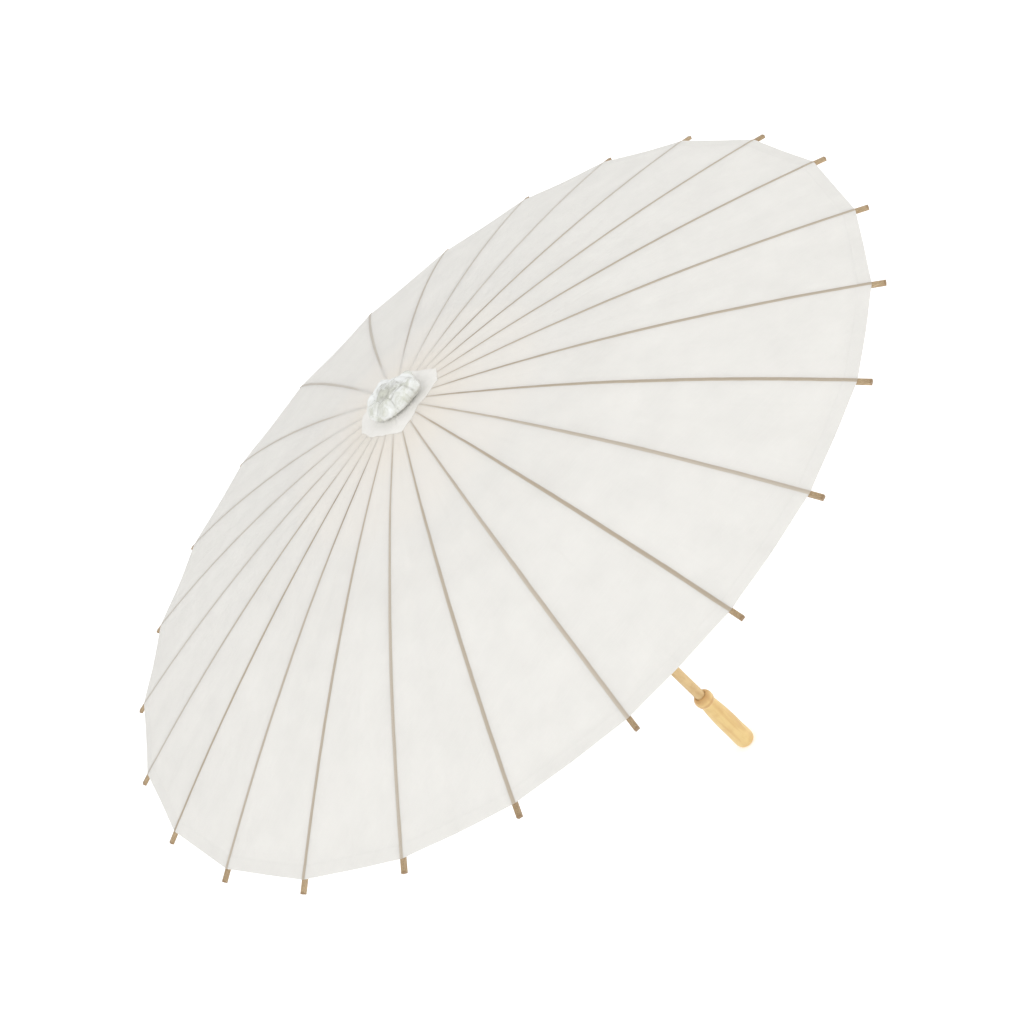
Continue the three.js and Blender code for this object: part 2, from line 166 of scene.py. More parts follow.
def sheet_grid(radii, shares, index):
    """Points, lateral offsets and radii of the paper's outer face round one rib."""
    radius, share = np.meshgrid(radii, shares, indexing="ij")
    side = np.abs(share)
    cosine, sine = math.cos(HALF_PITCH), math.sin(HALF_PITCH)
    x = radius * (1 - side) + radius * cosine * cosine * side
    y = radius * cosine * sine * share
    sag = np.where(share > 0, PANEL_SAGS[index], PANEL_SAGS[index - 1])
    hang = sag * (radius / PAPER_RADIUS) ** 1.5 * np.sin(side * math.pi / 2) ** 2
    points = np.stack([x, y, paper_height(radius) - hang], axis=-1)
    return turned_about_z(points, index * PITCH), y, radius


def make_gore(index):
    """The paper round one rib, out to the middle of the panels on both sides of it."""
    radii = np.concatenate([
        np.linspace(PAPER_OPENING, PAPER_RADIUS - HEM_WIDTH - HEM_STEP, 42),
        np.linspace(PAPER_RADIUS - HEM_WIDTH, PAPER_RADIUS, 6),
    ])
    inner = np.array([0, 0.05, 0.12, 0.22, 0.34, 0.47, 0.6, 0.74, 0.87, 1])
    shares = np.concatenate([-inner[:0:-1], inner])
    points, lateral, radius = sheet_grid(radii, shares, index)
    points[..., 2] += wrinkle(points, lateral)
    top, bottom = points.copy(), points.copy()
    bottom[..., 2] -= PAPER_THICKNESS
    hem = smooth(0, HEM_STEP, radius - (PAPER_RADIUS - HEM_WIDTH - HEM_STEP))
    top[..., 2] += HEM_RISE * hem
    gore = shell(f"gore_{index + 1:02d}", top, bottom)
    lay_out(gore, lateral, radius, index)
    return gore


# ---- Cap ----

SKIRT_INNER = 17.6 * MM
SKIRT_LIFT = 0.3 * MM  # the gap over the canopy
SKIRT_FLARE = 1.8 * MM  # how far its inner edge stands up towards the neck
SKIRT_PLEATS = 13
SKIRT_CORNERS = (  # the torn sheet's corners: an angle in degrees and a radius in millimetres
    (-8, 43), (28, 38), (52, 47), (88, 46), (118, 50), (150, 43), (176, 37), (205, 34),
    (238, 39), (262, 33), (282, 29), (304, 33), (328, 40),
)


def skirt_edge(angle):
    """The torn edge of the wrap's skirt, as a radius: nearly straight between its corners."""
    degrees = math.degrees(angle) % 360
    corners = sorted((a % 360, r) for a, r in SKIRT_CORNERS)
    before = (corners[-1][0] - 360, corners[-1][1])
    after = (corners[0][0] + 360, corners[0][1])
    corners = [before, *corners, after]
    for (a, p), (b, q) in zip(corners, corners[1:]):
        if a <= degrees <= b:
            break
    first, second = math.radians(a), math.radians(b)
    x, y = p * math.cos(first), p * math.sin(first)
    dx, dy = q * math.cos(second) - x, q * math.sin(second) - y
    straight = (x * dy - y * dx) / (math.cos(angle) * dy - math.sin(angle) * dx)
    ragged = noise.noise(Vector((math.cos(angle) * 7, math.sin(angle) * 7, 8.2)))
    return (straight + 0.9 * ragged) * MM


def skirt_rise(angle, share):
    """Low pleats that run out from the neck and flatten towards the skirt's edge."""
    wander = 1.6 * noise.noise(Vector((math.cos(angle) * 2, math.sin(angle) * 2, 6.4)))
    pleat = abs(((angle / (2 * math.pi) * SKIRT_PLEATS + wander) % 1) - 0.5) * 2
    return (0.1 + 0.9 * pleat * (1 - share) ** 1.5) * MM


def make_skirt(index):
    """One rib's share of the skirt, which folds with it."""
    rows, columns = 13, 9
    angles = (index + np.linspace(-0.5, 0.5, columns)) * PITCH
    top = np.zeros((rows, columns, 3))
    lateral = np.zeros((rows, columns))
    radius = np.zeros((rows, columns))
    for j, angle in enumerate(angles):
        outer = skirt_edge(angle)
        for i in range(rows):
            share = i / (rows - 1)
            r = SKIRT_INNER + (outer - SKIRT_INNER) * share
            flare = SKIRT_FLARE * (1 - smooth(17 * MM, 26 * MM, r))
            z = paper_height(r) + SKIRT_LIFT + skirt_rise(angle, share) + flare
            top[i, j] = r * math.cos(angle), r * math.sin(angle), z
            lateral[i, j], radius[i, j] = r * math.sin(angle - index * PITCH), r
    bottom = top.copy()
    bottom[..., 2] -= PAPER_THICKNESS
    skirt = shell(f"cap_skirt_{index + 1:02d}", top, bottom)
    lay_out(skirt, lateral, radius, index)
    return skirt


CAP_RADIUS = 25.6 * MM
CAP_THICKNESS = 0.3 * MM
CAP_SLACK = 0.9 * MM  # how far the smooth bun is drawn in before it is crumpled
CAP_LOBES = 0.8 * MM
NECK_HEIGHT = 109.2 * MM  # above the rim, where the thread gathers the paper
NECK_PLEATS, NECK_PLEAT_DEPTH = 23, 1.0 * MM
CAP_OUTLINE = (  # radius and height above the rim, in millimetres, from under the neck to the top
    (16.4, 106.6), (16.6, 108.2), (17.0, 109.6), (18.2, 110.5), (20.6, 110.2), (23.0, 108.8),
    (24.8, 108.3), (26.1, 109.4), (26.5, 111.4), (26.2, 113.6), (24.6, 116.0), (21.6, 117.8),
    (17.4, 119.3), (12.4, 120.1), (7.2, 120.6), (2.4, 120.8),
)


def scattered(seed, count):
    """Points strewn over the low bun that the cap is."""
    draw = np.random.default_rng(seed)
    angle, share = draw.uniform(0, 2 * math.pi, count), draw.uniform(0, 1, count)
    reach = CAP_RADIUS * np.sqrt(share)
    height = (110 + 11 * np.sqrt(1 - share * 0.96)) * MM + draw.normal(0, 1.2 * MM, count)
    return np.stack([reach * np.cos(angle), reach * np.sin(angle), height], axis=-1)


# The difference between the squared distances to the nearest of two such sets is flat
# between straight folds.
RIDGES, VALLEYS = scattered(7, 13), scattered(18, 10)
SMALL_RIDGES, SMALL_VALLEYS = scattered(3, 60), scattered(4, 56)
CRUMPLE_GAIN, SMALL_GAIN = 0.026, 0.014  # per millimetre of that difference
CRUMPLE_FLOOR = -1.7 * MM
FACET_SPACING = 24 * MM  # twice the usual distance between two bulges
CREASE_WIDTH = 0.75 * MM


def nearest_two(points, point):
    """The squared distances to the two nearest of the points."""
    squared = np.partition(np.sum((points - np.array(point)) ** 2, axis=1), 1)
    return float(squared[0]), float(squared[1])


def crumple(point):
    """How far crumpled paper lies off its smooth surface: flat facets between sharp folds."""
    large = nearest_two(VALLEYS, point)[0] - nearest_two(RIDGES, point)[0]
    small = nearest_two(SMALL_VALLEYS, point)[0] - nearest_two(SMALL_RIDGES, point)[0]
    return max(large * CRUMPLE_GAIN / MM + small * SMALL_GAIN / MM, CRUMPLE_FLOOR)


def crease(point):
    """1 in the fold between two of the bulges, 0 away from it."""
    nearest, second = nearest_two(RIDGES, point)
    off = (second - nearest) / FACET_SPACING
    return math.exp(-((off / CREASE_WIDTH) ** 2))


def along(outline, count):
    """An outline's points evenly spaced on a smooth curve through them."""
    points = np.array(outline, float)
    run = np.concatenate([[0], np.cumsum(np.linalg.norm(np.diff(points, axis=0), axis=1))])
    wanted = np.linspace(0, run[-1], count)
    tangent = np.gradient(points, run, axis=0)
    spans = np.clip(np.searchsorted(run, wanted, side="right") - 1, 0, len(run) - 2)
    length = (run[spans + 1] - run[spans])[:, None]
    t = (wanted - run[spans])[:, None] / length
    p, q = points[spans], points[spans + 1]
    m, n = tangent[spans] * length, tangent[spans + 1] * length
    return ((2 * t**3 - 3 * t**2 + 1) * p + (t**3 - 2 * t**2 + t) * m
            + (3 * t**2 - 2 * t**3) * q + (t**3 - t**2) * n)


def make_cap():
    """The gathered bun: its outline turned round, then displaced along the outline's normal."""
    columns, rows = 220, 92
    outline = along(CAP_OUTLINE, rows) * MM
    vertices, faces, creases = [], [], []
    for row, (radius, height) in enumerate(outline):
        gather = math.exp(-(((height - NECK_HEIGHT) / (2 * MM)) ** 2))
        before, after = outline[max(row - 1, 0)], outline[min(row + 1, rows - 1)]
        run = math.hypot(after[0] - before[0], after[1] - before[1])
        out, lift = (after[1] - before[1]) / run, (before[0] - after[0]) / run
        loose = smooth(18 * MM, 24 * MM, radius) if lift < 0.3 else 1.0
        loose *= 0.35 + 0.65 * smooth(108.5 * MM, 113 * MM, height)
        for j in range(columns):
            angle = 2 * math.pi * j / columns
            x, y = math.cos(angle), math.sin(angle)
            wander = 1.5 * noise.noise(Vector((x * 2.3, y * 2.3, height * 60)))
            pleat = abs(((angle / (2 * math.pi) * NECK_PLEATS + wander) % 1) - 0.5) * 2
            lobes = CAP_LOBES * noise.noise(Vector((x * 1.7, y * 1.7, 4.4)))
            point = Vector((x * radius, y * radius, height))
            proud = loose * (crumple(point) + lobes - CAP_SLACK)
            kept = radius + proud * out - NECK_PLEAT_DEPTH * gather * pleat
            top = RIM_Z + height + proud * lift
            vertices.append((kept * x, kept * y, min(top, CAP_TOP)))
            creases.append(loose * crease(point))
    for i in range(rows - 1):
        for j in range(columns):
            a, b = i * columns + j, i * columns + (j + 1) % columns
            faces.append((a, b, b + columns, a + columns))
    top = len(vertices)
    middle = outline[-1][1] - CAP_SLACK + crumple(Vector((0, 0, outline[-1][1])))
    vertices.append((0, 0, min(RIM_Z + middle, CAP_TOP)))
    for j in range(columns):
        last = (rows - 1) * columns
        faces.append((last + j, last + (j + 1) % columns, top))
    cap = mesh_object("cap_wrap", vertices, faces)
    cap.data.attributes.new("crease", "FLOAT", "POINT")
    cap.data.attributes["crease"].data.foreach_set("value", creases + [0.0])
    thicken = cap.modifiers.new("paper", "SOLIDIFY")
    thicken.thickness = CAP_THICKNESS
    thicken.offset = -1
    return cap


# ---- Thread, and the turned handle ----


def tube(name, path, radius, lay, closed=True):
    """A thread of two strands along a path. They twist round each other once in each lay."""
    sides, groove_depth = 10, 0.2
    points = [Vector(p) for p in path]
    count = len(points)
    vertices, faces = [], []
    run = 0.0
    for i, point in enumerate(points):
        before = points[i - 1] if closed or i else point
        after = points[(i + 1) % count] if closed or i < count - 1 else point
        ahead = (after - before).normalized()
        side = ahead.cross(Vector((0, 0, 1)))
        side = side.normalized() if side.length > 1e-6 else Vector((1, 0, 0))
        up = side.cross(ahead).normalized()
        run += (point - before).length
        for k in range(sides):
            angle = 2 * math.pi * k / sides
            groove = groove_depth * abs(math.sin(angle + 2 * math.pi * run / lay))
            reach = radius * (1 - groove_depth + groove)
            vertices.append(point + reach * (math.cos(angle) * side + math.sin(angle) * up))
    for i in range(count if closed else count - 1):
        for k in range(sides):
            a, b = i * sides + k, i * sides + (k + 1) % sides
            c, d = ((i + 1) % count) * sides + k, ((i + 1) % count) * sides + (k + 1) % sides
            faces.append((a, b, d, c))
    if not closed:
        faces.append(tuple(range(sides))[::-1])
        faces.append(tuple(range((count - 1) * sides, count * sides)))
    return mesh_object(name, vertices, faces)


def ring(radius, height, count, turns=1, pitch=0.0, wobble=0.0):
    """Points round the shaft's axis, rising by pitch with each turn."""
    points = []
    for i in range(count):
        angle = 2 * math.pi * turns * i / (count if turns == 1 else count - 1)
        reach = radius + wobble * noise.noise(Vector((math.cos(angle), math.sin(angle), angle)))
        rise = height + pitch * angle / (2 * math.pi)
        points.append((reach * math.cos(angle), reach * math.sin(angle), rise))
    return points


def make_cap_tie():
    """Three turns of thread round the neck of the wrap."""
    low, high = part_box("cap_tie")
    middle = (low.z + high.z) / 2
    radius = high.x - 0.75 * MM
    path = ring(radius, middle - 0.6 * MM, 420, turns=3, pitch=0.4 * MM, wobble=0.1 * MM)
    return tube("cap_tie_thread", path, 0.3 * MM, lay=1.6 * MM, closed=False)


def make_hinge_thread(name, node):
    """The ring of thread that the inner ends of the ribs or the stretchers hang on."""
    low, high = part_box(node)
    path = ring(PIVOT.x, (low.z + high.z) / 2, 288)
    return tube(name, path, 0.36 * MM, lay=1.5 * MM)


def lathe(name, outline):
    """A turned body. The outline's first and last points are on the axis."""
    columns = 96
    inner = outline[1:-1]
    vertices = [(0, 0, outline[0][1])]
    for radius, height in inner:
        for j in range(columns):
            angle = 2 * math.pi * j / columns
            vertices.append((radius * math.cos(angle), radius * math.sin(angle), height))
    vertices.append((0, 0, outline[-1][1]))
    last = len(vertices) - 1
    faces = []
    for j in range(columns):
        k = (j + 1) % columns
        faces.append((0, 1 + k, 1 + j))
        for i in range(len(inner) - 1):
            a, b = 1 + i * columns + j, 1 + i * columns + k
            faces.append((a, b, b + columns, a + columns))
        start = 1 + (len(inner) - 1) * columns
        faces.append((start + j, start + k, last))
    return mesh_object(name, vertices, faces)


HANDLE_TOP = 82 * MM
HANDLE_BORE = 5.26 * MM
BORE_FLOOR = 13.6 * MM
HANDLE_SWELLING = (  # radius and height in millimetres, from the flat end to the bead's top
    (0, 0), (6.4, 0), (7.4, 0.25), (8.4, 0.95), (9.3, 2.3), (9.9, 4.6), (10.1, 7.5),
    (10.05, 12), (9.85, 18), (9.8, 25), (9.9, 33), (9.8, 41), (9.5, 49), (9.05, 56),
    (8.6, 62), (8.2, 66.5), (8.05, 69.4), (8.25, 70.4), (9.0, 71.6), (9.5, 73.4),
    (9.7, 75.4), (9.65, 77.2), (9.2, 79), (8.3, 80.6), (7.2, 81.6), (6.4, 82),
)
HEEL_HEIGHT = 8 * MM  # under it the wood is sanded smooth
TOOL_MARK, TOOL_STEP = 0.02 * MM, 0.55 * MM


def handle_outline():
    """The grip: flat end, round heel, long swelling, neck, collar bead and a bore for the shaft."""
    turned = []
    for radius, height in along(HANDLE_SWELLING, 150)[1:] * MM:
        mark = TOOL_MARK * math.sin(height / TOOL_STEP)
        turned.append((radius + (mark if height > HEEL_HEIGHT else 0), max(height, 0)))
    lip = [(HANDLE_BORE + 0.4 * MM, HANDLE_TOP), (HANDLE_BORE, HANDLE_TOP - 0.5 * MM)]
    return [(0, 0)] + turned + lip + [(HANDLE_BORE, BORE_FLOOR), (0, BORE_FLOOR)]


# ---- Node materials ----


class Look:
    """A material under construction: its nodes are added by the methods and linked as they come."""

    def __init__(self, name):
        self.material = bpy.data.materials.new(name)
        self.material.use_nodes = True
        self.tree = self.material.node_tree
        self.shader = self.tree.nodes["Principled BSDF"]
        self.output = self.tree.nodes["Material Output"]

    def node(self, kind, inputs=None, **settings):
        made = self.tree.nodes.new("ShaderNode" + kind)
        for key, value in settings.items():
            setattr(made, key, value)
        for key, value in (inputs or {}).items():
            self.put(made.inputs[key], value)
        return made

    def put(self, socket, value):
        """Links an output to a socket, or sets the socket to a plain value."""
        if isinstance(value, bpy.types.NodeSocket):
            self.tree.links.new(value, socket)
        else:
            socket.default_value = value

    def math(self, operation, a, b=0.0, c=0.0):
        return self.node("Math", {0: a, 1: b, 2: c}, operation=operation).outputs[0]

    def times(self, a, b):
        return self.math("MULTIPLY", a, b)

    def inverse(self, share):
        return self.math("SUBTRACT", 1.0, share)

    def step(self, low, high, value):
        """0 below low, 1 above high and a smooth step between them."""
        inputs = {"Value": value, "From Min": low, "From Max": high}
        made = self.node("MapRange", inputs, interpolation_type="SMOOTHSTEP")
        return made.outputs["Result"]

    def place(self):
        """The point's place at rest, in metres, and its x, y and z."""
        point = self.node("TexCoord").outputs["Object"]
        split = self.node("SeparateXYZ", {"Vector": point})
        return point, split.outputs["X"], split.outputs["Y"], split.outputs["Z"]

    def lay(self):
        """Where the point lies on its sheet: across the rib, out from the shaft, and which rib."""
        stored = self.node("Attribute", attribute_name="lay")
        split = self.node("SeparateXYZ", {"Vector": stored.outputs["Vector"]})
        return split.outputs["X"], split.outputs["Y"], split.outputs["Z"]

    def vector(self, x, y, z):
        return self.node("CombineXYZ", {"X": x, "Y": y, "Z": z}).outputs[0]

    def noise(self, vector, scale, detail=3.0, rough=0.5, warp=0.0):
        inputs = {"Vector": vector, "Scale": scale, "Detail": detail, "Roughness": rough}
        inputs["Distortion"] = warp
        return self.node("TexNoise", inputs).outputs["Fac"]

    def mix(self, share, a, b, blend="MIX"):
        made = self.node("Mix", data_type="RGBA", blend_type=blend)
        self.put(made.inputs[0], share)
        self.put(made.inputs[6], a)
        self.put(made.inputs[7], b)
        return made.outputs[2]

    def ramp(self, value, stops):
        made = self.node("ValToRGB", {"Fac": value})
        ramp = made.color_ramp
        for at, colour in stops[2:]:
            ramp.elements.new(at).color = colour
        for element, (at, colour) in zip(ramp.elements, stops[:2]):
            element.position, element.color = at, colour
        return made.outputs["Color"]

    def bump(self, height, distance, strength, under=None):
        made = self.node("Bump", {"Height": height, "Strength": strength, "Distance": distance})
        if under is not None:
            self.put(made.inputs["Normal"], under)
        return made.outputs["Normal"]

    def finish(self, colour, roughness, normal=None, **plain):
        self.put(self.shader.inputs["Base Color"], colour)
        self.put(self.shader.inputs["Roughness"], roughness)
        if normal is not None:
            self.put(self.shader.inputs["Normal"], normal)
        for name, value in plain.items():
            self.put(self.shader.inputs[name.replace("_", " ")], value)
        return self.material

    def let_light_through(self, colour, share, normal):
        """Mixes in light that comes through the sheet from behind."""
        through = self.node("BsdfTranslucent", {"Color": colour, "Normal": normal}).outputs[0]
        mixed = self.node("MixShader", {0: share, 1: self.shader.outputs[0], 2: through})
        self.put(self.output.inputs["Surface"], mixed.outputs[0])


def rgb(red, green, blue):
    """A colour as it shows on a screen, 0 to 255, as the linear colour that shaders take."""
    def linear(value):
        value /= 255
        return value / 12.92 if value <= 0.04045 else ((value + 0.055) / 1.055) ** 2.4
    return linear(red), linear(green), linear(blue), 1.0


def grey(value):
    """A plain number as a ramp's colour."""
    return value, value, value, 1


def fibre_marks(look, point):
    """The paper's long fibres in three directions, as marks from 0 to 1."""
    marks = None
    for turn, across in ((0.35, 1500), (1.35, 1250), (2.45, 1700)):
        inputs = {"Vector": point, "Rotation": (0, 0, turn), "Scale": (45, across, 45)}
        drawn = look.noise(look.node("Mapping", inputs).outputs[0], 1.0, 1.0, 0.5, 0.35)
        line = look.step(0.58, 0.74, drawn)
        marks = line if marks is None else look.math("MAXIMUM", marks, line)
    return marks


def spread(look, value, amount):
    """Noise from 0 to 1 as an offset to both sides of 0."""
    return look.times(look.math("SUBTRACT", value, 0.5), amount)


GLUED_SPOT = (-5 * MM, 40 * MM)  # where the wrap's paper is glued over two ribs
GLUED_RADIUS, GLUED_FADE = 48 * MM, 50 * MM


def rib_lines(look, x, y, lateral, radial, index):
    """Where a rib shows through the paper, and its colour there: each rib its own, with painted
    shade along one side of the line and painted light that fades the lines towards +Y.
    """
    shade = look.node("TexWhiteNoise", {"W": index}, noise_dimensions="1D").outputs["Value"]
    other = look.node("TexWhiteNoise", {"W": look.math("ADD", index, 40.5)}, noise_dimensions="1D")
    near_hub = look.inverse(look.step(90 * MM, 170 * MM, radial))
    streaks = look.vector(look.times(radial, 55), look.times(lateral, 700), index)
    streak = look.noise(streaks, 1.0, 3.0, 0.6)

    widening = look.step(20 * MM, 260 * MM, radial)
    half_width = look.math("MULTIPLY_ADD", widening, 0.95 * MM, 0.6 * MM)
    drift = look.noise(look.vector(look.times(radial, 14), index, 2.0), 1.0, 2.0)
    middle = look.math("ADD", lateral, spread(look, drift, 1.1 * MM))
    ragged = look.math("ADD", look.math("ABSOLUTE", middle), spread(look, streak, 0.8 * MM))
    past = look.math("SUBTRACT", ragged, half_width)
    line = look.inverse(look.step(-0.45 * MM, 0.5 * MM, past))

    colour = look.mix(shade, rgb(205, 189, 163), rgb(226, 216, 200))
    dark = look.times(near_hub, look.math("POWER", other.outputs["Value"], 1.6))
    colour = look.mix(look.times(dark, 0.85), colour, rgb(158, 129, 92))
    # Painted shade: one side of each rib line is painted darker, as if the light fell from the
    # other side.
    side = look.step(-0.6, 1.2, look.math("DIVIDE", middle, half_width))
    colour = look.mix(look.times(side, 0.4), colour, rgb(172, 151, 122))
    colour = look.mix(look.times(streak, 0.35), colour, rgb(226, 220, 211))

    dx = look.math("SUBTRACT", x, GLUED_SPOT[0])
    dy = look.math("SUBTRACT", y, GLUED_SPOT[1])
    away = look.math("SQRT", look.math("MULTIPLY_ADD", dx, dx, look.times(dy, dy)))
    shown = look.step(GLUED_RADIUS, GLUED_RADIUS + GLUED_FADE, away)
    far_side_lightening = look.step(20 * MM, 100 * MM, y)  # painted light: the rib lines fade towards +Y, away from the camera, to offset the shade and grazing view that darken them there
    shown = look.times(shown, look.math("MULTIPLY_ADD", far_side_lightening, -0.42, 0.92))
    return look.times(line, shown), colour


def paper_look():
    """Off-white handmade paper: fibres, the glued ribs showing through with painted shade along one
    side, a crown painted lighter against its shade and warmer, a hem.
    """
    look = Look("canopy_paper")
    point, x, y, _ = look.place()
    lateral, radial, index = look.lay()
    off_rib = look.math("ABSOLUTE", lateral)

    fibres = fibre_marks(look, point)
    cloudy = look.noise(point, 32, 4.0, 0.6)
    grain = look.noise(point, 900, 2.0, 0.6)
    colour = look.ramp(cloudy, [(0.3, rgb(237, 236, 233)), (0.72, rgb(241, 240, 237))])
    colour = look.mix(look.times(fibres, 0.3), colour, rgb(244, 243, 240))

    # Painted light: the crown and the hub are painted lighter, to offset the shade the crown gets
    # under the lamps, and warmer in tone.
    wavering = look.math("ADD", radial, spread(look, cloudy, 12 * MM))
    crown = look.inverse(look.step(112 * MM, 150 * MM, wavering))
    colour = look.mix(look.times(crown, 0.85), colour, rgb(242, 240, 236))
    hub = look.inverse(look.step(40 * MM, 95 * MM, radial))
    colour = look.mix(look.times(hub, 0.8), colour, rgb(244, 240, 233))

    hem_start = PAPER_RADIUS - HEM_WIDTH
    hem = look.step(hem_start - 0.8 * MM, hem_start + 0.8 * MM, radial)
    colour = look.mix(look.times(hem, 0.12), colour, rgb(226, 225, 222))

    line, line_colour = rib_lines(look, x, y, lateral, radial, index)
    colour = look.mix(line, colour, line_colour)

    folds = look.vector(look.times(lateral, 170), look.times(radial, 30), index)
    ripple = look.noise(folds, 1.0, 2.0, 0.5, 0.6)
    pulls = look.vector(look.times(lateral, 60), look.times(radial, 9), index)
    pull = look.noise(pulls, 1.0, 3.0, 0.5, 0.9)
    normal = look.bump(grain, 0.05 * MM, 0.5)
    normal = look.bump(fibres, 0.06 * MM, 0.7, normal)
    normal = look.bump(look.times(ripple, hem), 0.4 * MM, 0.35, normal)
    normal = look.bump(look.noise(point, 60, 3.0, 0.55, 0.8), 0.5 * MM, 0.4, normal)
    normal = look.bump(pull, 1.6 * MM, 0.35, normal)
    ridge = look.inverse(look.step(0.0, 2.2 * MM, off_rib))
    normal = look.bump(ridge, 0.35 * MM, 0.8, normal)
    roughness = look.ramp(grain, [(0.3, grey(0.62)), (0.7, grey(0.8))])
    look.finish(colour, roughness, normal, Specular_IOR_Level=0.3)
    look.let_light_through(colour, 0.35, normal)
    return look.material


def cap_look():
    """Crumpled glossy wrapping paper: cool white facets, with painted shade in the creased valleys
    and under the neck.
    """
    look = Look("cap_paper")
    point, _, _, z = look.place()
    stored = look.node("Attribute", attribute_name="crease").outputs["Fac"]
    # Painted shade: the folds between the bulges are painted greyer.
    ragged = look.times(stored, look.step(0.3, 0.62, look.noise(point, 160, 3.0, 0.6)))
    cloudy = look.noise(point, 60, 4.0, 0.6, 0.8)
    fibres = fibre_marks(look, point)
    colour = look.ramp(cloudy, [(0.36, rgb(206, 208, 196)), (0.58, rgb(240, 242, 241))])
    colour = look.mix(look.times(ragged, 0.6), colour, rgb(146, 145, 135))
    colour = look.mix(look.times(fibres, 0.2), colour, rgb(245, 245, 243))
    # Painted shade: the paper under the neck is painted darker.
    neck_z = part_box("cap_tie")[1].z
    under_neck_shade = look.inverse(look.step(neck_z - 1 * MM, neck_z + 3 * MM, z))
    colour = look.mix(look.times(under_neck_shade, 0.45), colour, rgb(176, 174, 162))
    normal = look.bump(look.noise(point, 420, 3.0, 0.6, 0.7), 0.15 * MM, 0.35)
    normal = look.bump(look.noise(point, 150, 3.0, 0.55, 1.4), 0.6 * MM, 0.35, normal)
    normal = look.bump(fibres, 0.05 * MM, 0.6, normal)
    roughness = look.ramp(cloudy, [(0.3, grey(0.2)), (0.7, grey(0.4))])
    look.finish(colour, roughness, normal, Specular_IOR_Level=0.6)
    look.let_light_through(colour, 0.05, normal)
    return look.material


def skirt_look():
    """The same wrap where it lies on the canopy: flatter and matter, with painted shade by the
    neck.
    """
    look = Look("cap_skirt_paper")
    point, _, _, _ = look.place()
    _, radial, _ = look.lay()
    cloudy = look.noise(point, 110, 4.0, 0.6, 0.5)
    fibres = fibre_marks(look, point)
    colour = look.ramp(cloudy, [(0.3, rgb(238, 236, 231)), (0.7, rgb(243, 241, 237))])
    colour = look.mix(look.times(fibres, 0.3), colour, rgb(247, 246, 243))
    # Painted shade: the skirt is painted darker next to the neck, under the bun's overhang.
    shade = look.inverse(look.step(17 * MM, 25 * MM, radial))
    colour = look.mix(look.times(shade, 0.15), colour, rgb(222, 219, 210))
    normal = look.bump(look.noise(point, 260, 3.0, 0.6, 0.8), 0.6 * MM, 0.6)
    normal = look.bump(fibres, 0.05 * MM, 0.6, normal)
    look.finish(colour, 0.55, normal, Specular_IOR_Level=0.35)
    look.let_light_through(colour, 0.05, normal)
    return look.material


def bamboo_look(name, pale, mid, dark, tip=None):
    """Split bamboo: straight fibres along the bar, one shade to each bar, darker cut ends."""
    look = Look(name)
    _, x, y, z = look.place()
    radial = look.math("SQRT", look.math("MULTIPLY_ADD", x, x, look.times(y, y)))
    turn = look.math("DIVIDE", look.math("ARCTAN2", y, x), PITCH)
    bar = look.math("ROUND", turn)
    off = look.times(look.math("SUBTRACT", turn, bar), PITCH)
    lateral = look.times(off, radial)
    run = look.math("MULTIPLY_ADD", radial, 14, look.times(bar, 7.3))
    strands = look.vector(run, look.times(lateral, 1900), look.times(z, 1900))
    fibre = look.noise(strands, 1.0, 3.0, 0.6)
    blotch = look.noise(look.vector(look.times(radial, 9), bar, 0.0), 1.0, 3.0, 0.6)
    shade = look.node("TexWhiteNoise", {"W": bar}, noise_dimensions="1D").outputs["Value"]
    colour = look.ramp(fibre, [(0.28, dark), (0.7, pale), (0.5, mid)])
    tint = look.times(look.math("ADD", blotch, shade), 0.28)
    colour = look.mix(tint, colour, dark, "MULTIPLY")
    if tip is not None:
        end = look.step(TIP_RADIUS - 1.6 * MM, TIP_RADIUS - 0.1 * MM, radial)
        colour = look.mix(look.times(end, 0.75), colour, tip)
    normal = look.bump(fibre, 0.12 * MM, 0.6)
    roughness = look.ramp(fibre, [(0.3, grey(0.62)), (0.7, grey(0.42))])
    return look.finish(colour, roughness, normal, Specular_IOR_Level=0.4)


